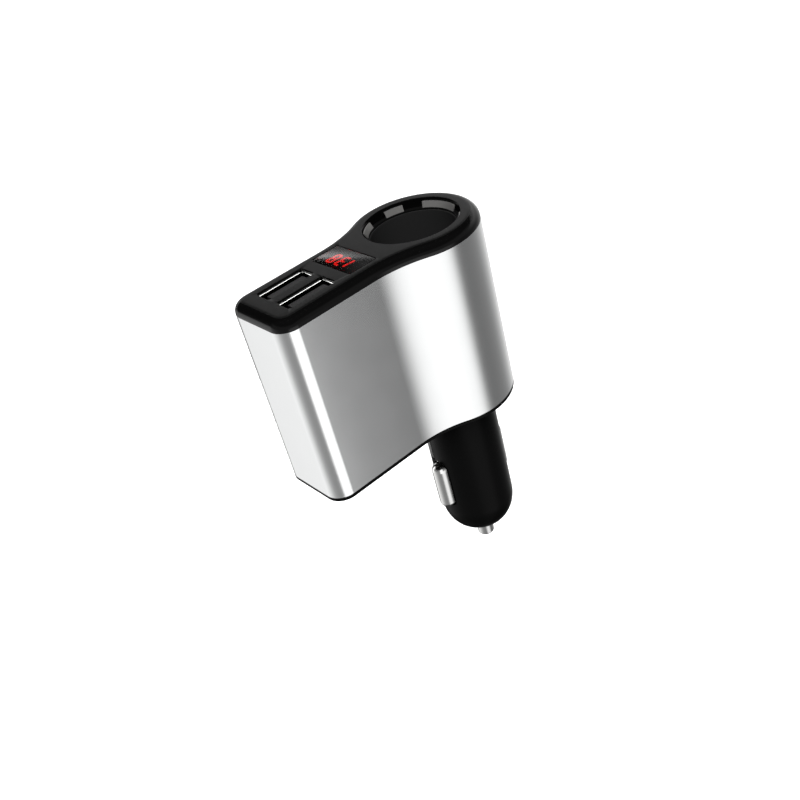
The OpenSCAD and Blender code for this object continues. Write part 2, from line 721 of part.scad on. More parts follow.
module plug_barrel() {
    color([0.08, 0.08, 0.08]) difference() {
        union() {
            difference() {
                union() {
                    rotate_extrude() intersection() {
                        nose_profile(barrel_r, -barrel_l, nose_r);
                        translate([0, -barrel_l - cut]) square([barrel_r + cut, barrel_l + seat_z + cut]);
                    }
                    translate([0, 0, base_t + 0.05]) cylinder(r = flange_plug_r, h = seat_z - base_t - 0.05);
                }
                rotate_extrude() nose_profile(barrel_in, nose_floor, nose_r - barrel_wall);
            }
            for (s = sides) intersection() {
                slab([-0.6, s > 0 ? tube_out + 0.1 : -barrel_in - 0.5, nose_floor - 0.5],
                    [0.6, s > 0 ? barrel_in + 0.5 : -tube_out - 0.1, ring_z - 0.02]);
                rotate_extrude() nose_profile(barrel_r - 0.5, -barrel_l + 0.5, nose_r - 0.5);
            }
        }
        translate([0, 0, -barrel_l - cut]) cylinder(r = pin_r + pin_gap, h = nose_wall + 2 * cut);
        translate([0, 0, nose_floor]) cylinder(r = tube_out + fit_gap / 2, h = 3);
        mirror([0, 1, 0]) contact_slots();
        rotate([0, 0, 180]) contact_slots();
    }
}

// Ring that joins the side contacts, with a tongue folded down to each
module ground_ring() {
    color("silver") union() {
        tube(barrel_in - 0.1, tube_out + 0.6, ring_z, ring_z + ring_t);
        for (a = [0, 180]) rotate([0, 0, a]) {
            slab([barrel_in - 1, -1.4, ring_z], [leaf_x - leaf_t, 1.4, ring_z + ring_t]);
            slab([leaf_x - 2 * leaf_t, -1.4, root_z + 0.25], [leaf_x - leaf_t, 1.4, ring_z + ring_t]);
        }
    }
}

module fuse_tube() {
    color([0.75, 0.72, 0.66]) tube(tube_out, tube_in, nose_floor + 0.02, fuse_top + 1.6);
}

module fuse_glass() {
    color([0.85, 0.9, 0.92, 0.4]) tube(fuse_d / 2 - 0.25, fuse_d / 2 - 0.7, fuse_z + 0.5, fuse_top - 0.5);
}

module fuse_caps() {
    color("silver") difference() {
        for (z = [fuse_z, fuse_top - 5]) translate([0, 0, z]) cylinder(d = fuse_d, h = 5);
        translate([0, 0, fuse_z + 0.45]) cylinder(d = fuse_d - 0.46, h = fuse_l - 0.9);
    }
}

module fuse_wire() {
    color([0.8, 0.8, 0.75]) translate([0, 0, fuse_z + 0.5]) cylinder(r = 0.18, h = fuse_l - 1, $fn = 16);
}

// Cup over the fuse's upper end, with a tongue for the live wire
module fuse_clip() {
    color([0.8, 0.65, 0.35]) union() {
        difference() {
            translate([0, 0, fuse_top - 3]) cylinder(r = tube_in - 0.1, h = 3.6);
            translate([0, 0, fuse_top - 3 - cut]) cylinder(d = fuse_d + 0.1, h = 3 + cut + 0.02);
        }
        slab([-0.9, 1.4, fuse_top + 0.5], [0.9, 1.8, fuse_top + 5]);
    }
}

module tip_spring() {
    color("silver") coil(pin_r - 0.1, 0.3, 5, fuse_z - spring_l - pin_gap + 0.02, spring_l + pin_gap - 0.04);
}

module tip_pin() {
    tip_z = -barrel_l - pin_out;
    color("silver") union() {
        translate([0, 0, tip_z]) rotate_extrude() union() {
            translate([0, pin_round]) square([pin_r, nose_floor + pin_flange_t - tip_z - pin_round]);
            square([pin_r - pin_round, 2 * pin_round]);
            translate([pin_r - pin_round, pin_round]) circle(r = pin_round);
        }
        translate([0, 0, nose_floor + pin_gap]) cylinder(r = pin_flange_r, h = pin_flange_t);
        translate([0, 0, nose_floor + pin_flange_t]) cylinder(r = pin_r - 0.55, h = 2.4);
    }
}

module live_wire() {
    start = fuse_top + 4.6;
    color("red") wire([[0, 2.8, start], [0, 3.2, (start + ring_z) / 2], [0, 3.4, ring_z], [-1, 3.6, seat_z],
        [-4, 3, wire_z - 0.6], [-8, 1.9, wire_z], [main_x1 - 0.2, 1.7, wire_z]], wire_d);
}

module ground_wire() {
    x = 0.5 - ring_mid;
    color([0.1, 0.1, 0.1]) wire([[x, -2.5, ring_z + ring_t + 0.02], [x, -2.5, wire_z - 1.5],
        [x - 1.5, -1.7, wire_z], [main_x1 - 0.2, -1.7, wire_z]], wire_d);
}

module cover_screws() {
    color("silver") for (p = posts) translate([p[0], p[1], 0]) difference() {
        union() {
            translate([0, 0, 0.1]) cylinder(r = head_r, h = head_t);
            translate([0, 0, 0.1]) cylinder(r = screw_r, h = screw_l);
        }
        for (a = [0, 90]) rotate([0, 0, a]) slab([-1.1, -0.25, -cut], [1.1, 0.25, 0.75]);
    }
}

metal_sleeve();
top_cover();
base_cover();
cover_posts();
socket_liner();
lug_ring();
socket_shell();
socket_floor();
centre_contact();
centre_spring();
translate([0, -port_pitch / 2, 0]) usb_shell();  // usb_shell_left
translate([0, port_pitch / 2, 0]) usb_shell();  // usb_shell_right
usb_tongue(-1);  // usb_tongue_left
usb_tongue(1);  // usb_tongue_right
usb_pins(-1);  // usb_pins_left
usb_pins(1);  // usb_pins_right
display_window();
display_module();
display_digits();
display_board();
display_pins();
port_board();
main_board();
ring_core();
ring_winding();
input_capacitor();
output_capacitor();
converter_chip();
power_diode();
chip_parts();
plug_barrel();
ground_ring();
side_contact_left();
side_contact_right();
fuse_tube();
fuse_glass();
fuse_caps();
fuse_wire();
fuse_clip();
tip_spring();
tip_pin();
live_wire();
ground_wire();
cover_screws();
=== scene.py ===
import json
import math

import bmesh
import bpy
from mathutils import Matrix, Vector


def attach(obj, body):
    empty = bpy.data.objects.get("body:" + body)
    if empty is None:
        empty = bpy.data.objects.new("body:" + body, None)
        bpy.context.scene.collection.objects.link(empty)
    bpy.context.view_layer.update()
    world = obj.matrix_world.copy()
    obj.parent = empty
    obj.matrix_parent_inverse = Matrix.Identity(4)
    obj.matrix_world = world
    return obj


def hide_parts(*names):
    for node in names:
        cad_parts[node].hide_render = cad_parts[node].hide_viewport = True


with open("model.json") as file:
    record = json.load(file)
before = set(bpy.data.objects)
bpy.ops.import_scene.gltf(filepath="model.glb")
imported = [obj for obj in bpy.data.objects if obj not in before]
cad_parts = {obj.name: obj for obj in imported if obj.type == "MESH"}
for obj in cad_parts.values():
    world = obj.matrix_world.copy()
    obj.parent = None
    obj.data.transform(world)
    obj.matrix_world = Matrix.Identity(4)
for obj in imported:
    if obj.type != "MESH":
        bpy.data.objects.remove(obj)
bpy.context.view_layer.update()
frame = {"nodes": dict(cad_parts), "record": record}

mm = 0.001
scene = bpy.context.scene


# Camera, from the fit to the photo's edges
cameraView = {
    "place": (-134.47, -186.25, 152.49),  # mm
    "aim": (0.446129, 0.706502, -0.549385),
    "right": (0.734524, -0.639756, -0.226247),
    "lens": 46.11,
}


def makeCamera():
    back = -Vector(cameraView["aim"]).normalized()
    right = Vector(cameraView["right"])
    up = back.cross(right).normalized()
    right = up.cross(back)
    turn = Matrix((right, up, back)).transposed().to_4x4()
    data = bpy.data.cameras.new("camera")
    data.lens = cameraView["lens"]
    data.sensor_width = 36
    data.clip_start = 0.01
    data.clip_end = 20
    camera = bpy.data.objects.new("camera", data)
    camera.matrix_world = Matrix.Translation(Vector(cameraView["place"]) * mm) @ turn
    scene.collection.objects.link(camera)
    scene.camera = camera


makeCamera()
print("camera placed")


# Materials

def linear(code):
    parts = [int(code[i:i + 2], 16) / 255 for i in (1, 3, 5)]
    return tuple(c / 12.92 if c < 0.04045 else ((c + 0.055) / 1.055) ** 2.4 for c in parts) + (1.0,)


def addNode(tree, kind, settings=None, links=None):
    node = tree.nodes.new(kind)
    for key, value in (settings or {}).items():
        if isinstance(key, str) and hasattr(node, key):
            setattr(node, key, value)
        else:
            node.inputs[key].default_value = value
    for key, source in (links or {}).items():
        tree.links.new(source, node.inputs[key])
    return node


def newMaterial(name, settings):
    material = bpy.data.materials.new(name)
    material.use_nodes = True
    tree = material.node_tree
    tree.nodes.clear()
    shader = addNode(tree, "ShaderNodeBsdfPrincipled", settings)
    addNode(tree, "ShaderNodeOutputMaterial", None, {"Surface": shader.outputs["BSDF"]})
    return material, tree, shader


cloudGrains = 40  # width of a cloud of uneven gloss, in grains


# Bump from a fine noise and uneven gloss from a coarse one; grain and depth in mm
def addGrain(tree, shader, grain, depth, rough):
    place = addNode(tree, "ShaderNodeTexCoord")
    noise = addNode(tree, "ShaderNodeTexNoise", {"Scale": 1 / (grain * mm), "Detail": 3.0, "Roughness": 0.6},
                    {"Vector": place.outputs["Object"]})
    bump = addNode(tree, "ShaderNodeBump", {"Strength": 1.0, "Distance": depth * mm},
                   {"Height": noise.outputs["Fac"]})
    tree.links.new(bump.outputs["Normal"], shader.inputs["Normal"])
    cloud = addNode(tree, "ShaderNodeTexNoise", {"Scale": 1 / (grain * cloudGrains * mm), "Detail": 2.0},
                    {"Vector": place.outputs["Object"]})
    spread = addNode(tree, "ShaderNodeMapRange", {"To Min": rough[0], "To Max": rough[1]},
                     {"Value": cloud.outputs["Fac"]})
    tree.links.new(spread.outputs["Result"], shader.inputs["Roughness"])


finishes = {
    # anodised extrusion, bead blasted: a soft sheen with a fine even grain
    "anodisedAluminium": {"colour": "#EDEEEE", "metallic": 1.0, "rough": (0.22, 0.26), "grain": 0.16,
                          "depth": 0.003},
    # glossy ABS of the rim: near black, sharp reflections with a faint moulding ripple
    "glossAbs": {"colour": "#040404", "metallic": 0.0, "rough": (0.13, 0.17), "grain": 0.9, "depth": 0.001,
                 "specular": 0.28},
    # spark-eroded ABS of the top face: a satin that greys in the light
    "satinAbs": {"colour": "#0A0A0A", "metallic": 0.0, "rough": (0.3, 0.34), "grain": 0.1, "depth": 0.003,
                 "specular": 0.2},
    # moulded polycarbonate of the plug and the base: black with a soft shine
    "satinPolycarbonate": {"colour": "#0A0A0A", "metallic": 0.0, "rough": (0.26, 0.3), "grain": 0.12,
                           "depth": 0.002, "specular": 0.035},
    # phenolic of the liner: a worn black that greys deep in the bore
    "linerPhenolic": {"colour": "#1C1C1C", "metallic": 0.0, "rough": (0.42, 0.5), "grain": 0.15,
                      "depth": 0.005, "specular": 0.1},
    # painted shade: the low band of the lug ring, down in the mouth, as a near-black copy of the lugs' steel
    "paintedShadeSteel": {"colour": "#0A0A0A", "metallic": 0.3, "rough": (0.4, 0.5), "grain": 0.1,
                       "depth": 0.002, "specular": 0.2},
    # phenolic of the smaller insulators: dull black
    "blackPhenolic": {"colour": "#161616", "metallic": 0.0, "rough": (0.42, 0.5), "grain": 0.15,
                      "depth": 0.005},
    # nickel plate, polished: bright with hairlines
    "polishedNickel": {"colour": "#DDDDDC", "metallic": 1.0, "rough": (0.16, 0.22), "grain": 0.06,
                       "depth": 0.001},
    # painted highlight on the sheared edge of tinned sheet: near white and matt, so that it stays light in
    # the dark of an opening
    "paintedHighlightTin": {"colour": "#F0F0EE", "metallic": 0.0, "rough": (0.5, 0.6), "grain": 0.1, "depth": 0.001},
    # tinned sheet: a grey metal with rolling marks
    "tinnedSteel": {"colour": "#BDBBB7", "metallic": 1.0, "rough": (0.26, 0.34), "grain": 0.08,
                    "depth": 0.0015},
    # darkened spring steel of the lugs: dull, with a grey sheen
    "darkSteel": {"colour": "#9A9997", "metallic": 0.85, "rough": (0.34, 0.42), "grain": 0.14,
                  "depth": 0.006},
    # turned brass of the fuse caps and contacts: warm and smooth
    "yellowBrass": {"colour": "#D9B36A", "metallic": 1.0, "rough": (0.22, 0.3), "grain": 0.08,
                    "depth": 0.001},
    # thin gold over the ports' pins: a bright yellow
    "goldPlate": {"colour": "#E2BB62", "metallic": 1.0, "rough": (0.18, 0.24), "grain": 0.05,
                  "depth": 0.0008},
    # moulded case of the display: dull, so that the window stays dark
    "displayCase": {"colour": "#050505", "metallic": 0.0, "rough": (0.6, 0.7), "grain": 0.1,
                    "depth": 0.0005, "specular": 0.1},
    # fibreglass board under green solder mask, with its weave showing through
    "solderMask": {"colour": "#14532D", "metallic": 0.0, "rough": (0.25, 0.35), "grain": 0.4,
                   "depth": 0.004},
    # pressed iron powder of the ring core: dull, with a grainy skin
    "powderedFerrite": {"colour": "#3A3F3A", "metallic": 0.0, "rough": (0.5, 0.65), "grain": 0.12,
                        "depth": 0.008},
    # drawn copper wire under clear enamel: an orange shine
    "enamelledCopper": {"colour": "#B5602C", "metallic": 1.0, "rough": (0.24, 0.3), "grain": 0.1,
                        "depth": 0.001},
    # shrunk plastic sleeve of the capacitors: dark blue and glossy
    "capacitorSleeve": {"colour": "#23283A", "metallic": 0.0, "rough": (0.2, 0.28), "grain": 0.3,
                        "depth": 0.003},
    # moulded epoxy of the chips: black and dull
    "mouldedEpoxy": {"colour": "#101010", "metallic": 0.0, "rough": (0.45, 0.55), "grain": 0.08,
                     "depth": 0.004},
    # fired ceramic of the small parts: a matt brown
    "tinnedCeramic": {"colour": "#8A6F55", "metallic": 0.0, "rough": (0.4, 0.5), "grain": 0.1,
                      "depth": 0.003},
    # wound phenolic paper of the fuse tube: a matt tan
    "phenolicTube": {"colour": "#B9A27C", "metallic": 0.0, "rough": (0.5, 0.6), "grain": 0.2,
                     "depth": 0.01},
    # extruded silicone of the wires: soft and half glossy
    "redSilicone": {"colour": "#A3120E", "metallic": 0.0, "rough": (0.35, 0.45), "grain": 0.3,
                    "depth": 0.004},
    "blackSilicone": {"colour": "#101011", "metallic": 0.0, "rough": (0.35, 0.45), "grain": 0.3,
                      "depth": 0.004},
}


def grainedMaterial(name):
    look = finishes[name]
    material, tree, shader = newMaterial(name, {
        "Base Color": linear(look["colour"]), "Metallic": look["metallic"],
        "Specular IOR Level": look.get("specular", 0.5)})
    addGrain(tree, shader, look["grain"], look["depth"], look["rough"])
    return material


made = {name: grainedMaterial(name) for name in finishes}

# Smoked acrylic: dark, see-through and hard polished, so that it mirrors the sky
made["smokedAcrylic"] = newMaterial("smokedAcrylic", {
    "Base Color": linear("#040404"), "Roughness": 0.03, "IOR": 1.49, "Specular IOR Level": 0.9,
    "Alpha": 0.62})[0]

# Drawn glass of the fuse: clear, with bright edges
made["drawnGlass"] = newMaterial("drawnGlass", {
    "Base Color": linear("#E9EFEF"), "Roughness": 0.02, "IOR": 1.47, "Transmission Weight": 1.0})[0]

# Lit strokes of the display: red epoxy that glows evenly
made["litEpoxy"] = newMaterial("litEpoxy", {
    "Base Color": linear("#5A0806"), "Roughness": 0.4, "Emission Color": linear("#FF1B12"),
    "Emission Strength": 4.5})[0]

slotFinish = {
    "sleeve": "anodisedAluminium", "cover": "glossAbs", "black_plastic": "blackPhenolic",
    "bare_steel": "tinnedSteel", "nickel": "polishedNickel", "brass": "yellowBrass", "gold": "goldPlate",
    "window_glass": "smokedAcrylic", "display_case": "displayCase", "digit_red": "litEpoxy",
    "board_green": "solderMask", "ferrite": "powderedFerrite", "copper": "enamelledCopper",
    "capacitor_can": "capacitorSleeve", "chip_black": "mouldedEpoxy", "ceramic": "tinnedCeramic",
    "paper_tube": "phenolicTube", "fuse_clear": "drawnGlass", "wire_red": "redSilicone",
    "wire_black": "blackSilicone", "dark_steel": "darkSteel",
}
for part in frame["record"]["subparts"]:
    node = frame["nodes"][part["node"]]
    node.data.materials.clear()
    node.data.materials.append(made[slotFinish[part["material_slot"]]])
print("materials made")


# Mesh helpers, all in mm until finishPiece

# Arc drawn by turning one vertex about a centre; gives the last vertex
def arcFrom(bm, vert, centre, degrees, steps, axis=(0, 0, 1)):
    arc = bmesh.ops.spin(bm, geom=[vert], cent=centre, axis=axis, dvec=(0, 0, 0),
                         angle=math.radians(degrees), steps=steps, use_merge=False, use_duplicate=False)
    return vertsOf(arc["geom_last"])[0]


def lineTo(bm, vert, point):
    new = bmesh.ops.extrude_vert_indiv(bm, verts=[vert])["verts"][0]
    new.co = point
    return new


# Edges of the closed loop that the last calls drew
def closeLoop(bm, before):
    loop = [v for v in bm.verts if v not in before]
    bmesh.ops.remove_doubles(bm, verts=loop, dist=0.0005)
    loop = [v for v in bm.verts if v not in before]
    return list({e for v in loop for e in v.link_edges})


outline = {"endRadius": 16.65, "halfWidth": 11.25, "reach": 48.3, "cornerRadius": 4.65, "neckRadius": 28.4,
           "endSteps": 112, "neckSteps": 22, "cornerSteps": 16}


# The body's outline at height z, set in by inset
def outlineLoop(bm, inset, z):
    o = outline
    neckY = o["halfWidth"] + o["neckRadius"]
    neckX = -math.sqrt((o["endRadius"] + o["neckRadius"]) ** 2 - neckY ** 2)
    lean = math.degrees(math.atan2(neckY, -neckX))
    half = o["halfWidth"] - inset
    corner = max(o["cornerRadius"] - inset, 0.5)
    cornerX = -o["reach"] + inset + corner
    before = set(bm.verts)
    begin = math.radians(lean - 180)
    radius = o["endRadius"] - inset
    v = bm.verts.new((radius * math.cos(begin), radius * math.sin(begin), z))
    v = arcFrom(bm, v, (0, 0, z), 360 - 2 * lean, o["endSteps"])
    v = arcFrom(bm, v, (neckX, neckY, z), lean - 90, o["neckSteps"])
    v = lineTo(bm, v, (cornerX, half, z))
    v = arcFrom(bm, v, (cornerX, half - corner, z), 90, o["cornerSteps"])
    v = lineTo(bm, v, (cornerX - corner, corner - half, z))
    v = arcFrom(bm, v, (cornerX, corner - half, z), 90, o["cornerSteps"])
    v = lineTo(bm, v, (neckX, -half, z))
    arcFrom(bm, v, (neckX, -neckY, z), lean - 90, o["neckSteps"])
    return closeLoop(bm, before)


def circleLoop(bm, radius, z, centre=(0, 0), segments=128):
    ring = bmesh.ops.create_circle(bm, cap_ends=False, radius=radius, segments=segments,
                                   matrix=Matrix.Translation((centre[0], centre[1], z)))["verts"]
    return list({e for v in ring for e in v.link_edges})


# Rectangle with round corners at height z
def roundedLoop(bm, size, radius, z, centre=(0, 0), steps=6):
    x, y = size[0] / 2 - radius, size[1] / 2 - radius
    cx, cy = centre
    before = set(bm.verts)
    v = bm.verts.new((cx + x + radius, cy - y, z))
    for sx, sy in ((1, 1), (-1, 1), (-1, -1), (1, -1)):
        turn = {(1, 1): (1, 0), (-1, 1): (0, 1), (-1, -1): (-1, 0), (1, -1): (0, -1)}[(sx, sy)]
        v = lineTo(bm, v, (cx + sx * x + turn[0] * radius, cy + sy * y + turn[1] * radius, z))
        v = arcFrom(bm, v, (cx + sx * x, cy + sy * y, z), 90, steps)
    return closeLoop(bm, before)


def bridge(bm, first, second):
    return bmesh.ops.bridge_loops(bm, edges=list(first) + list(second))["faces"]


def fillFlat(bm, *loops):
    edges = [e for loop in loops for e in loop]
    return bmesh.ops.triangle_fill(bm, use_beauty=True, use_dissolve=False, edges=edges, normal=(0, 0, 1))


# Turned piece from a closed profile in the XZ plane
def spinProfile(bm, edges, steps=128):
    verts = list({v for e in edges for v in e.verts})
    bmesh.ops.spin(bm, geom=verts + list(edges), cent=(0, 0, 0), axis=(0, 0, 1), dvec=(0, 0, 0),
                   angle=2 * math.pi, steps=steps, use_merge=True, use_duplicate=False)
    bmesh.ops.remove_doubles(bm, verts=bm.verts, dist=0.0005)
    bmesh.ops.delete(bm, geom=[e for e in bm.edges if not e.link_faces], context="EDGES")  # the axis


# Closed profile through points (r, z); a third value rounds that corner
def drawProfile(bm, points):
    corners = []
    verts = []
    for point in points:
        v = bm.verts.new((point[0], 0, point[1]))
        verts.append(v)
        if len(point) > 2:
            corners.append((v, point[2]))
    edges = [bm.edges.new((verts[i - 1], verts[i])) for i in range(len(verts))]
    for v, radius in corners:
        ends = [e.other_vert(v).co - v.co for e in v.link_edges]
        half = ends[0].angle(ends[1]) / 2
        bmesh.ops.bevel(bm, geom=[v], offset=radius / math.tan(half), offset_type="OFFSET",
                        segments=max(2, int(radius * 4) + 2), profile=0.5, affect="VERTICES",
                        clamp_overlap=False, material=-1)
    return list(bm.edges)


def bevelEdges(bm, edges, offset, segments=2):
    return bmesh.ops.bevel(bm, geom=list(edges), offset=offset, offset_type="OFFSET", segments=segments,
                           profile=0.5, affect="EDGES", clamp_overlap=False, material=-1)


def addBox(bm, middle, size):
    bmesh.ops.create_cube(bm, size=1, matrix=Matrix.Translation(middle) @ Matrix.Diagonal((*size, 1)))


def vertsOf(geometry):
    return [g for g in geometry if isinstance(g, bmesh.types.BMVert)]


# Loops at the given stops of inset and height, joined by faces
def ringStack(bm, draw, stops, closed=False):
    loops = [draw(inset, z) for inset, z in stops]
    for first, second in zip(loops, loops[1:]):
        bridge(bm, first, second)
    if closed:
        bridge(bm, loops[-1], loops[0])
    return loops


# Stops of a quarter-round edge that ends at height z
def roundStops(radius, z, steps, up=1):
    angles = [math.pi / 2 * i / steps for i in range(steps + 1)]
    return [(radius * (1 - math.cos(a)), z - up * radius * (1 - math.sin(a))) for a in angles]


def boxCutter(low, high):
    bm = bmesh.new()
    addBox(bm, (Vector(low) + Vector(high)) / 2, Vector(high) - Vector(low))
    return finishPiece(bm, "boxCutter", None, [])


def cutAway(piece, cutters, sharp):
    for cutter in cutters:
        modifier = piece.modifiers.new("cut", "BOOLEAN")
        modifier.operation = "DIFFERENCE"
        modifier.solver = "EXACT"
        modifier.object = cutter
    bpy.context.view_layer.update()
    graph = bpy.context.evaluated_depsgraph_get()
    mesh = bpy.data.meshes.new_from_object(piece.evaluated_get(graph))
    old = piece.data
    piece.modifiers.clear()
    piece.data = mesh
    bpy.data.meshes.remove(old)
    mesh.name = piece.name
    mesh.set_sharp_from_angle(angle=math.radians(sharp))
    for cutter in cutters:
        bpy.data.objects.remove(cutter)


# Mesh in metres, smooth with sharp edges, riding on its body
def finishPiece(bm, name, body, materials, replaces=(), sharp=32, cutters=()):
    bmesh.ops.remove_doubles(bm, verts=bm.verts, dist=0.0004)
    bmesh.ops.recalc_face_normals(bm, faces=bm.faces)
    for face in bm.faces:
        face.smooth = True
    for edge in bm.edges:
        edge.smooth = len(edge.link_faces) == 2 and edge.calc_face_angle(0) < math.radians(sharp)
    bmesh.ops.scale(bm, vec=(mm, mm, mm), verts=bm.verts)
    mesh = bpy.data.meshes.new(name)
    bm.to_mesh(mesh)
    bm.free()
    for material in materials:
        mesh.materials.append(made[material])
    piece = bpy.data.objects.new(name, mesh)
    scene.collection.objects.link(piece)
    if cutters:
        cutAway(piece, cutters, sharp)
    if body:
        even = piece.modifiers.new("evenNormals", "WEIGHTED_NORMAL")
        even.keep_sharp = True
        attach(piece, body)
        for node in replaces:
            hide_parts(node)
    return piece


level = {"rim": 48.3, "top": 51.1, "base": 1.0, "sleeveWall": 1.2, "skirtIn": 1.3, "pocketIn": 2.5}


# Sleeve: a closed tube with a small break on its outer edges
def makeSleeve():
    size = {"edge": 0.12}
    low, high, wall = level["base"], level["rim"], level["sleeveWall"]
    bm = bmesh.new()
    edge = roundStops(size["edge"], high, 3)
    foot = roundStops(size["edge"], low, 3, -1)
    ringStack(bm, lambda inset, z: outlineLoop(bm, inset, z),
              [(wall, low)] + foot[::-1] + edge + [(wall, high)], True)
    finishPiece(bm, "metalSleeve", "housing", ["anodisedAluminium"], ["metal_sleeve"])


makeSleeve()
print("sleeve made")

ports = {"x": -35.65, "pitch": 8.3, "opening": (13.3, 5.5), "corner": 0.7}
display = {"x": -21.35, "opening": (8.2, 15.1), "corner": 0.5, "recess": 1.3, "step": 0.3}
socket = {"mouth": 12.2, "bore": 10.75, "liner": 12.95, "flange": 14.05, "shellTop": 33.3, "recess": 11.05}


# Top cover: quarter-round rim, flat face with its openings, and the skirt inside the sleeve
def makeTopCover():
    size = {"rim": 2.8, "rimSteps": 16, "break": 0.14, "skirt": 4.0, "satin": 0.15}
    top, low = level["top"], level["rim"]
    bm = bmesh.new()
    rim = ringStack(bm, lambda inset, z: outlineLoop(bm, inset, z),
                    roundStops(size["rim"], top, size["rimSteps"]))
    edge = roundStops(size["break"], top, 3)
    holes = []
    for side in (-1, 1):
        at = (ports["x"], side * ports["pitch"] / 2)
        holes.append(ringStack(bm, lambda grow, z: roundedLoop(
            bm, [v + 2 * grow for v in ports["opening"]], ports["corner"] + grow, z, at), [(0, low)] + edge))
    holes.append(ringStack(bm, lambda grow, z: circleLoop(bm, socket["mouth"] + grow, z), [(0, low)] + edge))
    ledge = top - display["recess"]
    holes.append(ringStack(bm, lambda grow, z: roundedLoop(
        bm, [v + 2 * grow for v in display["opening"]], display["corner"] + grow, z, (display["x"], 0)),
        [(-display["step"], low), (-display["step"], ledge), (0, ledge)] + edge))
    fillFlat(bm, rim[-1], *[hole[-1] for hole in holes])
    skirtFoot = low - size["skirt"]
    skirt = ringStack(bm, lambda inset, z: outlineLoop(bm, inset, z), [
        (level["skirtIn"], low), (level["skirtIn"], skirtFoot),
        (level["pocketIn"], skirtFoot), (level["pocketIn"], low)])
    bridge(bm, rim[0], skirt[0])
    fillFlat(bm, skirt[-1], *[hole[0] for hole in holes])
    for part in bm.faces:
        if part.calc_center_median().z > top - size["satin"]:
            part.material_index = 1
    finishPiece(bm, "topCover", "housing", ["glossAbs", "satinAbs"], ["top_cover"], 28)


makeTopCover()
print("top cover made")

screws = {"places": [(-45.2, 0), (-14.84, 8.84), (-14.84, -8.84)], "bore": 1.0, "post": 1.8,
          "counterbore": 1.9}


# Base cover: thin plate with the barrel's hole, screw holes and a spigot
def makeBaseCover():
    size = {"edge": 0.2, "hole": 10.3, "spigot": 4.5, "pit": 0.8}
    high = level["base"]
    bm = bmesh.new()
    shell = ringStack(bm, lambda inset, z: outlineLoop(bm, inset, z), [
        *roundStops(size["edge"], 0, 3, -1)[::-1], (0, high), (level["skirtIn"], high),
        (level["skirtIn"], size["spigot"]), (level["pocketIn"], size["spigot"]), (level["pocketIn"], high)])
    hole = ringStack(bm, lambda grow, z: circleLoop(bm, size["hole"] + grow, z), [(0, 0), (0, high)])
    pits = [ringStack(bm, lambda grow, z: circleLoop(bm, screws["counterbore"] + grow, z, place, 32),
                      [(0, 0), (0, size["pit"])]) for place in screws["places"]]
    fillFlat(bm, shell[0], hole[0], *[pit[0] for pit in pits])
    fillFlat(bm, shell[-1], hole[1])
    for pit in pits:
        bmesh.ops.contextual_create(bm, geom=pit[1])
    finishPiece(bm, "baseCover", "housing", ["satinPolycarbonate"], ["base_cover"])


makeBaseCover()
print("base cover made")


# Posts inside the body, from the base cover's bosses up to the top cover
def makePosts():
    size = {"low": 4.52, "high": 48.28, "pilot": 16.5}
    bm = bmesh.new()
    for place in screws["places"]:
        loops = ringStack(bm, lambda inset, z: circleLoop(bm, screws["post"] - inset, z, place, 32), [
            (0, size["high"]), (0, size["low"]), (screws["post"] - screws["bore"], size["low"]),
            (screws["post"] - screws["bore"], size["pilot"])])
        bmesh.ops.contextual_create(bm, geom=loops[0])
        bmesh.ops.contextual_create(bm, geom=loops[-1])
    finishPiece(bm, "coverPosts", "housing", ["glossAbs"], ["cover_posts"])


makePosts()


# Turned piece in one call
def turned(points, name, body, materials, replaces=(), steps=128, sharp=32, cutters=()):
    bm = bmesh.new()
    spinProfile(bm, drawProfile(bm, points), steps)
    return finishPiece(bm, name, body, materials, replaces, sharp, cutters)


plug = {"radius": 10.2, "inner": 8.2, "tip": -45.3, "noseFloor": -42.9, "nose": 9.7, "innerNose": 3.6,
        "pinHole": 2.45, "flange": 12.65, "shoulder": 1.05, "seat": 3.0, "steps": 288}


# Liner of the socket, with a broken upper edge and the notch for the wires
def makeLiner():
    size = {"top": 48.25, "flangeFoot": 46.25, "foot": 3.05, "edge": 0.1, "flangeEdge": 0.2,
            "notch": ((-13.3, -3, 4), (-10.7, 3, 9))}
    k = socket
    turned([(k["bore"], k["shellTop"]), (k["bore"], size["top"], size["edge"]),
            (k["flange"], size["top"], size["flangeEdge"]), (k["flange"], size["flangeFoot"]),
            (k["liner"], size["flangeFoot"]), (k["liner"], size["foot"]), (k["recess"], size["foot"]),
            (k["recess"], k["shellTop"])],
           "socketLiner", "housing", ["linerPhenolic"], ["socket_liner"],
           cutters=[boxCutter(*size["notch"])])


makeLiner()


# Tip pin: flat end with a small round, shank, flange and the peg inside the spring
def makeTipPin():
    size = {"radius": 2.4, "end": -50.7, "round": 0.5, "play": 0.05, "flange": 3.25, "flangeHigh": 1.2,
            "flangeEdge": 0.15, "peg": 1.85, "pegHigh": 3.5, "pegEdge": 0.3, "steps": 96}
    seat = plug["noseFloor"] + size["play"]
    over, top = seat + size["flangeHigh"], seat + size["pegHigh"]
    turned([(0, size["end"]), (size["radius"], size["end"], size["round"]), (size["radius"], seat),
            (size["flange"], seat, size["flangeEdge"]), (size["flange"], over, size["flangeEdge"]),
            (size["peg"], over), (size["peg"], top, size["pegEdge"]), (0, top)],
           "tipPin", "tip", ["polishedNickel"], ["tip_pin"], size["steps"])


makeTipPin()


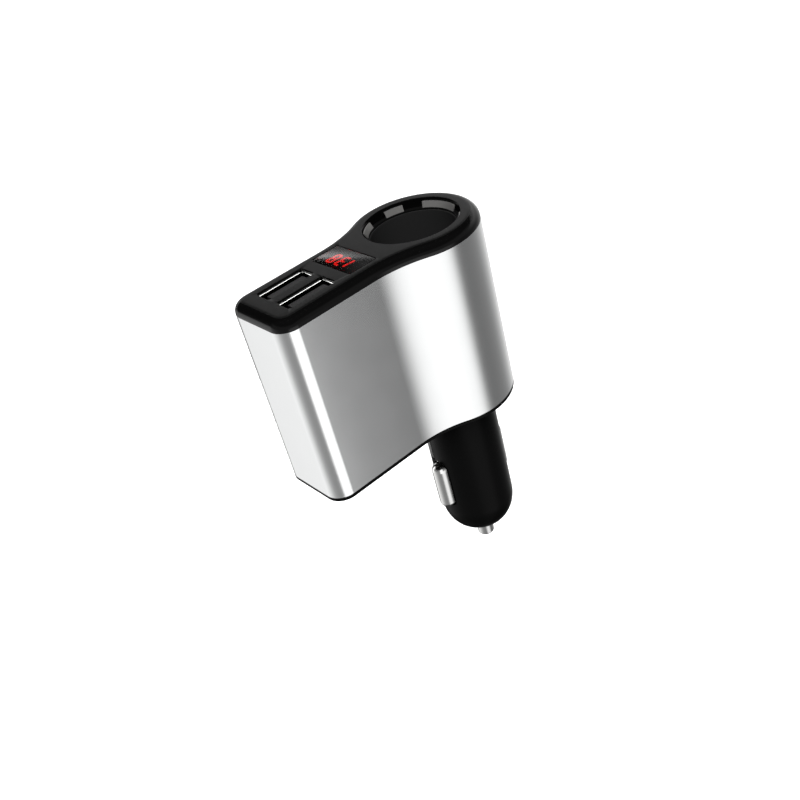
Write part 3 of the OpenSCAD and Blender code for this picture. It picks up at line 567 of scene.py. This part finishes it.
# Lug ring: a thin band with pressed lugs that lean outwards in the mouth
def makeLugRing():
    size = {"outer": 12.1, "inner": 10.95, "low": 48.3, "band": 48.8, "head": 50.25, "wall": 0.3,
            "footAt": 11.05, "headAt": 11.75, "edge": 0.08, "bandEdge": 0.1, "sunk": 0.02, "step": 3,
            "lugs": [(9, 52), (72.5, 25), (126.5, 29), (189, 52), (252.5, 25), (306.5, 29)]}
    bm = bmesh.new()
    spinProfile(bm, drawProfile(bm, [
        (size["inner"], size["low"]), (size["inner"], size["band"], size["bandEdge"]),
        (size["outer"], size["band"], size["bandEdge"]), (size["outer"], size["low"])]))
    foot = size["band"] - size["sunk"]
    for middle, sweep in size["lugs"]:
        before = set(bm.verts)
        corners = [bm.verts.new((r, 0, z)) for r, z in (
            (size["footAt"], foot), (size["footAt"] + size["wall"], foot),
            (size["headAt"] + size["wall"], size["head"]), (size["headAt"], size["head"]))]
        face = bm.faces.new(corners)
        bmesh.ops.rotate(bm, verts=corners, cent=(0, 0, 0),
                         matrix=Matrix.Rotation(math.radians(middle - sweep / 2), 3, "Z"))
        bmesh.ops.spin(bm, geom=[face] + list(face.edges) + corners, cent=(0, 0, 0), axis=(0, 0, 1),
                       dvec=(0, 0, 0), angle=math.radians(sweep), steps=int(sweep / size["step"]),
                       use_merge=False, use_duplicate=False)
        lug = [v for v in bm.verts if v not in before]
        edges = {e for v in lug for e in v.link_edges}
        rim = [e for e in edges if all(v.co.z > size["head"] - 0.01 for v in e.verts)
               and len(e.link_faces) == 2 and e.calc_face_angle(0) > 0.5]
        bevelEdges(bm, rim, size["edge"])
    # Painted shade: the faces of the low band take the near-black copy of the steel
    for face in bm.faces:
        if face.calc_center_median().z < size["band"] + 0.01:
            face.material_index = 1
    finishPiece(bm, "lugRing", "housing", ["darkSteel", "paintedShadeSteel"], ["lug_ring"])


makeLugRing()
print("socket made")


contact = {"drop": 18.1, "ear": 14.3, "radius": 2.4, "out": 2.5, "dome": 2.1, "round": 1.3, "sheet": 0.45,
           "gap": 0.45, "leafX": 9.65, "leafHalf": 1.6, "leafOver": 2, "root": -5.0, "rootPlay": 0.3,
           "armFrom": 13, "armTo": 32, "armRadius": 10.15, "armDrop": 0.5, "armSteps": 12,
           "yokeHigh": 3, "yokeOver": 0.35, "bead": 0.35, "beadLong": 3.1, "beadAt": (-0.25, -0.2),
           "domeSteps": 10, "roundSteps": 7, "earSteps": 24, "cutFrom": 4, "cutTo": 14}


# Half of the ear's front as a line of edges in the XZ plane, grown by d
def earProfile(bm, d):
    c = contact
    half, dome, low = c["radius"] + d, c["dome"] + d, c["round"] + d
    top, foot = -c["drop"] + d, -c["drop"] - c["ear"] - d
    v = bm.verts.new((0, 0, top))
    v = lineTo(bm, v, (half - dome, 0, top))
    v = arcFrom(bm, v, (half - dome, 0, top - dome), 90, c["domeSteps"], (0, 1, 0))
    v = lineTo(bm, v, (half, 0, foot + low))
    v = arcFrom(bm, v, (half - low, 0, foot + low), 90, c["roundSteps"], (0, 1, 0))
    lineTo(bm, v, (0, 0, foot))
    bmesh.ops.remove_doubles(bm, verts=bm.verts, dist=0.0005)


# Hole in the barrel's wall round the ear
def earCutter(sign):
    c = contact
    bm = bmesh.new()
    earProfile(bm, c["gap"])
    bmesh.ops.rotate(bm, verts=bm.verts, cent=(0, 0, 0), matrix=Matrix.Rotation(math.pi / 2, 3, "Z"))
    mirrored = bmesh.ops.duplicate(bm, geom=bm.verts[:] + bm.edges[:])["geom"]
    bmesh.ops.scale(bm, vec=(1, -1, 1), verts=vertsOf(mirrored))
    bmesh.ops.remove_doubles(bm, verts=bm.verts, dist=0.0005)
    bmesh.ops.translate(bm, vec=(sign * c["cutFrom"], 0, 0), verts=bm.verts)
    front = bmesh.ops.contextual_create(bm, geom=bm.edges[:])["faces"]
    out = bmesh.ops.extrude_face_region(bm, geom=front)["geom"]
    bmesh.ops.translate(bm, vec=(sign * (c["cutTo"] - c["cutFrom"]), 0, 0), verts=vertsOf(out))
    return finishPiece(bm, "earCutter", None, [])


# Barrel with its rounded nose, hollow inside, and the windows of the side contacts
def makeBarrel():
    p, c = plug, contact
    armLow = -c["drop"] + c["armDrop"] - c["gap"]
    near, far = [c["armRadius"] * math.sin(math.radians(a)) for a in (c["armFrom"], c["armTo"])]
    cutters = []
    for sign in (-1, 1):
        cutters.append(earCutter(sign))
        x = sorted((sign * c["cutFrom"], sign * c["cutTo"]))
        cutters.append(boxCutter((x[0], near - c["gap"], armLow),
                                 (x[1], far + c["gap"], c["root"] + c["rootPlay"])))
    turned([(p["pinHole"], p["tip"]), (p["radius"], p["tip"], p["nose"]), (p["radius"], p["shoulder"]),
            (p["flange"], p["shoulder"]), (p["flange"], p["seat"]), (p["inner"], p["seat"]),
            (p["inner"], p["noseFloor"], p["innerNose"]), (p["pinHole"], p["noseFloor"])],
           "plugBarrel", "housing", ["satinPolycarbonate"], ["plug_barrel"], p["steps"],
           cutters=cutters)


makeBarrel()
print("barrel made")


# Side contact: pressed ear, leaf behind the wall with the bead that it rocks on, and the curved arm beside it
def makeSideContact(sign, name, body, node):
    c = contact
    top = -c["drop"]
    centre = plug["radius"] + c["out"] - c["radius"]
    back = c["leafX"] - c["sheet"]
    bm = bmesh.new()
    earProfile(bm, 0)
    bmesh.ops.rotate(bm, verts=bm.verts, cent=(0, 0, 0), matrix=Matrix.Rotation(-math.pi / 2, 3, "Z"))
    bmesh.ops.spin(bm, geom=bm.verts[:] + bm.edges[:], cent=(0, 0, 0), axis=(0, 0, 1), dvec=(0, 0, 0),
                   angle=math.pi, steps=c["earSteps"], use_merge=False, use_duplicate=False)
    bmesh.ops.remove_doubles(bm, verts=bm.verts, dist=0.0005)
    rim = [e for e in bm.edges if len(e.link_faces) == 1]
    legs = bmesh.ops.extrude_edge_only(bm, edges=rim)["geom"]
    bmesh.ops.translate(bm, vec=(back - centre, 0, 0), verts=vertsOf(legs))
    bmesh.ops.translate(bm, vec=(centre, 0, 0), verts=bm.verts)
    bmesh.ops.recalc_face_normals(bm, faces=bm.faces)
    bmesh.ops.solidify(bm, geom=bm.faces[:], thickness=c["sheet"])
    long = c["root"] - top + c["leafOver"]
    leafMiddle = c["leafX"] - c["sheet"] / 2
    addBox(bm, (leafMiddle, 0, c["root"] - long / 2), (c["sheet"], 2 * c["leafHalf"], long))
    inwards, down = c["beadAt"]
    bmesh.ops.create_cone(bm, cap_ends=True, segments=24, radius1=c["bead"], radius2=c["bead"],
                          depth=c["beadLong"],
                          matrix=Matrix.Translation((c["leafX"] + inwards, 0, c["root"] + down))
                          @ Matrix.Rotation(math.pi / 2, 4, "X"))
    radius = c["armRadius"]
    corners = [bm.verts.new((r, 0, z)) for r, z in (
        (radius - c["sheet"], top + c["armDrop"]), (radius, top + c["armDrop"]), (radius, c["root"]),
        (radius - c["sheet"], c["root"]))]
    face = bm.faces.new(corners)
    bmesh.ops.rotate(bm, verts=corners, cent=(0, 0, 0),
                     matrix=Matrix.Rotation(math.radians(c["armFrom"]), 3, "Z"))
    bmesh.ops.spin(bm, geom=[face] + list(face.edges) + corners, cent=(0, 0, 0), axis=(0, 0, 1),
                   dvec=(0, 0, 0), angle=math.radians(c["armTo"] - c["armFrom"]), steps=c["armSteps"],
                   use_merge=False, use_duplicate=False)
    yokeY = radius * math.sin(math.radians(c["armFrom"])) + c["yokeOver"]
    addBox(bm, (leafMiddle, yokeY / 2, c["root"] - c["yokeHigh"] / 2), (c["sheet"], yokeY, c["yokeHigh"]))
    if sign < 0:
        bmesh.ops.scale(bm, vec=(-1, 1, 1), verts=bm.verts)
    finishPiece(bm, name, body, ["polishedNickel"], [node])


makeSideContact(-1, "sideContactLeft", "left_contact", "side_contact_left")
makeSideContact(1, "sideContactRight", "right_contact", "side_contact_right")
print("side contacts made")


# Shells of the two ports: drawn tubes with a floor, with a painted highlight in near white on the sheared
# upper edge of the long sides and the far end
def makePortShells():
    size = {"outer": (13.1, 5.3), "outerCorner": 0.6, "inner": (12.5, 4.7), "innerCorner": 0.35, "low": 37.12,
            "floor": 38.32, "top": 50.3, "edge": 49.95, "flare": 49.7, "round": 0.08, "long": 1, "endAt": 6.2}
    for side, node in ((-1, "usb_shell_left"), (1, "usb_shell_right")):
        at = (ports["x"], side * ports["pitch"] / 2)
        bm = bmesh.new()
        outer = ringStack(bm, lambda inset, z: roundedLoop(
            bm, [v - 2 * inset for v in size["outer"]], size["outerCorner"] - inset, z, at),
            [(0, size["low"])] + roundStops(size["round"], size["top"], 2))
        inner = ringStack(bm, lambda inset, z: roundedLoop(bm, size["inner"], size["innerCorner"], z, at),
                          [(0, size["top"]), (0, size["edge"]), (0, size["flare"]), (0, size["floor"])])
        bridge(bm, outer[-1], inner[0])
        bmesh.ops.contextual_create(bm, geom=outer[0])
        bmesh.ops.contextual_create(bm, geom=inner[-1])
        # Painted highlight: the straight top faces along the long sides and at the +X end take the near-white
        # matt colour
        for face in bm.faces:
            middle = face.calc_center_median()
            x, y = middle.x - at[0], middle.y - at[1]
            alongside = abs(x) < size["long"] and middle.z > size["edge"]
            atEnd = x > size["endAt"] and abs(y) < size["long"] and middle.z > size["flare"]
            if alongside or atEnd:
                face.material_index = 1
        finishPiece(bm, "portShellLeft" if side < 0 else "portShellRight", "housing",
                    ["tinnedSteel", "paintedHighlightTin"], [node])


makePortShells()
print("port shells made")


# Window of smoked acrylic with polished edges
def makeWindow():
    size = {"plan": (8.0, 14.9), "corner": 0.45, "low": 49.9, "high": 51.05, "edge": 0.12}
    bm = bmesh.new()
    low = roundedLoop(bm, size["plan"], size["corner"], size["low"], (display["x"], 0))
    high = roundedLoop(bm, size["plan"], size["corner"], size["high"], (display["x"], 0))
    bridge(bm, low, high)
    bmesh.ops.contextual_create(bm, geom=low)
    bmesh.ops.contextual_create(bm, geom=high)
    bevelEdges(bm, high, size["edge"])
    finishPiece(bm, "displayWindow", "housing", ["smokedAcrylic"], ["display_window"], 20)


makeWindow()


# Three slanted figures of pointed strokes, their tops towards the USB end
def makeDigits():
    size = {"figures": (1, 3, 8), "height": 4.1, "width": 2.15, "pitch": 3.25, "stroke": 0.5, "slant": 9,
            "low": 49.66, "deep": 0.15, "gap": 0.06, "at": (-20.6, 1.9)}
    lit = {0: "abcdef", 1: "bc", 2: "abged", 3: "abgcd", 4: "fgbc", 5: "afgcd", 6: "afgedc", 7: "abc",
           8: "abcdefg", 9: "abfgcd"}
    w, h, t = size["width"] - size["stroke"], (size["height"] - size["stroke"]) / 2, size["stroke"] / 2
    spots = {"a": (0, h, 0), "b": (w / 2, h / 2, 1), "c": (w / 2, -h / 2, 1), "d": (0, -h, 0),
             "e": (-w / 2, -h / 2, 1), "f": (-w / 2, h / 2, 1), "g": (0, 0, 0)}
    bm = bmesh.new()
    for place, figure in enumerate(size["figures"]):
        for stroke in lit[figure]:
            x, y, upright = spots[stroke]
            long = (h if upright else w) / 2 - size["gap"]
            ring = [(-long, 0), (-long + t, -t), (long - t, -t), (long, 0), (long - t, t), (-long + t, t)]
            points = [(x + (b if upright else a), y + (a if upright else b)) for a, b in ring]
            verts = [bm.verts.new(((place - 1) * size["pitch"] + px, py, size["low"])) for px, py in points]
            face = bm.faces.new(verts)
            up = bmesh.ops.extrude_face_region(bm, geom=[face])
            bmesh.ops.translate(bm, vec=(0, 0, size["deep"]), verts=vertsOf(up["geom"]))
    slant = Matrix.Identity(3)
    slant[0][1] = math.tan(math.radians(size["slant"]))
    bmesh.ops.transform(bm, verts=bm.verts, matrix=slant.to_4x4())
    bmesh.ops.rotate(bm, verts=bm.verts, cent=(0, 0, 0), matrix=Matrix.Rotation(math.radians(90), 3, "Z"))
    bmesh.ops.translate(bm, vec=(*size["at"], 0), verts=bm.verts)
    finishPiece(bm, "displayDigits", "housing", ["litEpoxy"], ["display_digits"])


makeDigits()
print("display made")


# Pale studio floor that turns up into a dome. Only the camera sees it, so that the metal reflects
# the soft sky around it
def makeFloor():
    size = {"low": -160, "radius": 1500, "bend": 700, "bendSteps": 24, "wall": 1500, "crown": 2100,
            "turns": 96, "colour": "#F4F4F4", "glow": 0.35}
    bm = bmesh.new()
    v = bm.verts.new((0, 0, size["low"]))
    v = lineTo(bm, v, (size["radius"] - size["bend"], 0, size["low"]))
    v = arcFrom(bm, v, (size["radius"] - size["bend"], 0, size["low"] + size["bend"]), -90,
                size["bendSteps"], (0, 1, 0))
    v = lineTo(bm, v, (size["radius"], 0, size["wall"]))
    lineTo(bm, v, (0, 0, size["crown"]))
    spinProfile(bm, list(bm.edges), size["turns"])
    made["studioPaper"] = newMaterial("studioPaper", {
        "Base Color": linear(size["colour"]), "Roughness": 0.9, "Specular IOR Level": 0.1,
        "Emission Color": linear("#FFFFFF"), "Emission Strength": size["glow"]})[0]
    floor = finishPiece(bm, "studioFloor", None, ["studioPaper"])
    floor.visible_glossy = False
    floor.visible_diffuse = False
    floor.visible_shadow = False


makeFloor()


# Lit card beside the plug, seen only in reflections: the two lights on the ear's dome
def makeCard(name, middle, width, low, high, glow):
    bm = bmesh.new()
    bmesh.ops.create_grid(bm, x_segments=1, y_segments=1, size=0.5, matrix=Matrix.Translation(
        (middle[0], middle[1], (low + high) / 2)) @ Matrix.Rotation(math.pi / 2, 4, "X")
        @ Matrix.Diagonal((width, high - low, 1, 1)))
    made[name] = newMaterial(name, {"Base Color": linear("#000000"), "Specular IOR Level": 0.0,
                                    "Emission Color": linear("#FFFFFF"), "Emission Strength": glow})[0]
    card = finishPiece(bm, name, None, [name])
    card.visible_camera = False
    card.visible_diffuse = False
    card.visible_shadow = False
    card.visible_transmission = False


makeCard("earCard", (-55, -75), 70, -68, 40, 1.4)
makeCard("domeCard", (-35, 36), 24, -40, 14, 1.5)

sky = {
    # direction round the object in degrees, brightness below the horizon
    "bands": [(-180, 0.42), (-163, 0.31), (-148, 0.28), (-134, 0.28), (-124, 0.36), (-114, 1.0), (-104, 1.2),
              (-84, 1.2), (-76, 1.05), (-70, 0.76), (-66, 0.42), (-62, 0.21), (-58, 0.17), (-54, 0.15),
              (-34, 0.18), (-18, 0.22), (-10, 0.26), (-2, 0.35), (6, 0.45), (14, 0.62), (22, 0.75),
              (30, 0.95), (54, 0.99), (66, 0.4), (76, 0.3), (84, 0.1), (100, 0.1), (108, 0.95), (122, 1.12),
              (137, 1.0), (152, 0.85), (180, 0.42)],
    # direction, share of the back's upper light
    "back": [(-180, 0.0), (-30, 0.0), (0, 1.0), (54, 1.0), (56.2, 0.15), (57.6, 0.3), (59.0, 1.0), (120, 1.0),
             (150, 0.0), (180, 0.0)],
    # sine of the height, share of the bands
    "low": [(-1.0, 0.1), (-0.78, 0.2), (-0.68, 1.0), (0.03, 1.0), (0.1, 0.0), (1.0, 0.0)],
    # sine of the height, brightness of the front and of the back
    "frontHigh": [(-1.0, 0.0), (0.03, 0.0), (0.1, 0.27), (0.48, 0.25), (0.56, 0.03), (1.0, 0.03)],
    "backHigh": [(-1.0, 0.0), (0.03, 0.0), (0.1, 0.5), (0.3, 0.85), (0.38, 0.8), (0.405, 0.5), (1.0, 0.5)],
}

# Slanted upper edge of the back panel, brightest just below: the crisp line of light in the window
panelEdge = {"across": (-0.5105, -0.2325, 1.0), "fade": 0.0088, "peak": 3.2}


def fillRamp(node, stops, start, end):
    ramp = node.color_ramp
    ramp.interpolation = "LINEAR"
    while len(ramp.elements) > 1:
        ramp.elements.remove(ramp.elements[-1])
    for i, (where, value) in enumerate(stops):
        place = (where - start) / (end - start)
        element = ramp.elements[0] if i == 0 else ramp.elements.new(place)
        element.position = place
        element.color = (value / 4, value / 4, value / 4, 1)  # a quarter, because a ramp stops at 1


# Soft sky: bright and dark panels round the object, which the metal shows as upright bands
def makeSky():
    world = bpy.data.worlds.new("softSky")
    scene.world = world
    world.use_nodes = True
    tree = world.node_tree
    tree.nodes.clear()
    place = addNode(tree, "ShaderNodeTexCoord")
    parts = addNode(tree, "ShaderNodeSeparateXYZ", None, {"Vector": place.outputs["Generated"]})
    angle = addNode(tree, "ShaderNodeMath", {"operation": "ARCTAN2"},
                    {0: parts.outputs["Y"], 1: parts.outputs["X"]})
    turn = addNode(tree, "ShaderNodeMapRange", {"From Min": -math.pi, "From Max": math.pi},
                   {"Value": angle.outputs[0]})
    rise = addNode(tree, "ShaderNodeMapRange", {"From Min": -1.0, "From Max": 1.0},
                   {"Value": parts.outputs["Z"]})
    ramp = {}
    for name, stops in sky.items():
        source = turn if name in ("bands", "back") else rise
        end = 180 if source is turn else 1
        ramp[name] = addNode(tree, "ShaderNodeValToRGB", None, {"Fac": source.outputs["Result"]})
        fillRamp(ramp[name], stops, -end, end)
        ramp[name] = ramp[name].outputs["Color"]
    share = addNode(tree, "ShaderNodeMath", {"operation": "MULTIPLY"}, {0: ramp["bands"], 1: ramp["low"]})
    side = addNode(tree, "ShaderNodeMath", {"operation": "MULTIPLY", 1: 4.0}, {0: ramp["back"]})
    over = addNode(tree, "ShaderNodeVectorMath", {"operation": "DOT_PRODUCT", 1: panelEdge["across"]},
                   {0: place.outputs["Generated"]})
    glare = addNode(tree, "ShaderNodeMapRange", {"From Min": -panelEdge["fade"], "From Max": 0.0,
                                                 "To Min": 0.0, "To Max": panelEdge["peak"] / 4},
                    {"Value": over.outputs["Value"]})
    below = addNode(tree, "ShaderNodeMath", {"operation": "LESS_THAN", 1: 0.0}, {0: over.outputs["Value"]})
    lit = addNode(tree, "ShaderNodeMath", {"operation": "ADD"},
                  {0: ramp["backHigh"], 1: glare.outputs["Result"]})
    panel = addNode(tree, "ShaderNodeMath", {"operation": "MULTIPLY"},
                    {0: lit.outputs[0], 1: below.outputs[0]})
    upper = addNode(tree, "ShaderNodeMix", {"data_type": "FLOAT"},
                    {0: side.outputs[0], 2: ramp["frontHigh"], 3: panel.outputs[0]})
    lower = addNode(tree, "ShaderNodeMath", {"operation": "MULTIPLY", 1: 16.0}, {0: share.outputs[0]})
    total = addNode(tree, "ShaderNodeMath", {"operation": "MULTIPLY_ADD", 1: 4.0},
                    {0: upper.outputs[0], 2: lower.outputs[0]})
    shade = addNode(tree, "ShaderNodeBackground", {"Strength": 1.0}, {"Color": total.outputs[0]})
    addNode(tree, "ShaderNodeOutputWorld", None, {"Surface": shade.outputs["Background"]})


makeSky()

# Soft lights for the floor and the matt surfaces, kept out of the reflections
lights = {
    "overhead": {"at": (0, 0, 1300), "size": 1400, "power": 34},
    "front": {"at": (-491, -676, 996), "size": 600, "power": 22},  # greys the bore
}


def makeLights():
    for name, look in lights.items():
        data = bpy.data.lights.new(name, "AREA")
        data.shape = "SQUARE"
        data.size = look["size"] * mm
        data.energy = look["power"]
        lamp = bpy.data.objects.new(name, data)
        lamp.location = Vector(look["at"]) * mm
        lamp.rotation_euler = lamp.location.to_track_quat("Z", "Y").to_euler()
        scene.collection.objects.link(lamp)
        lamp.visible_glossy = False
        lamp.visible_camera = False


makeLights()
scene.view_settings.view_transform = "Standard"
scene.view_settings.look = "None"
print("studio made")
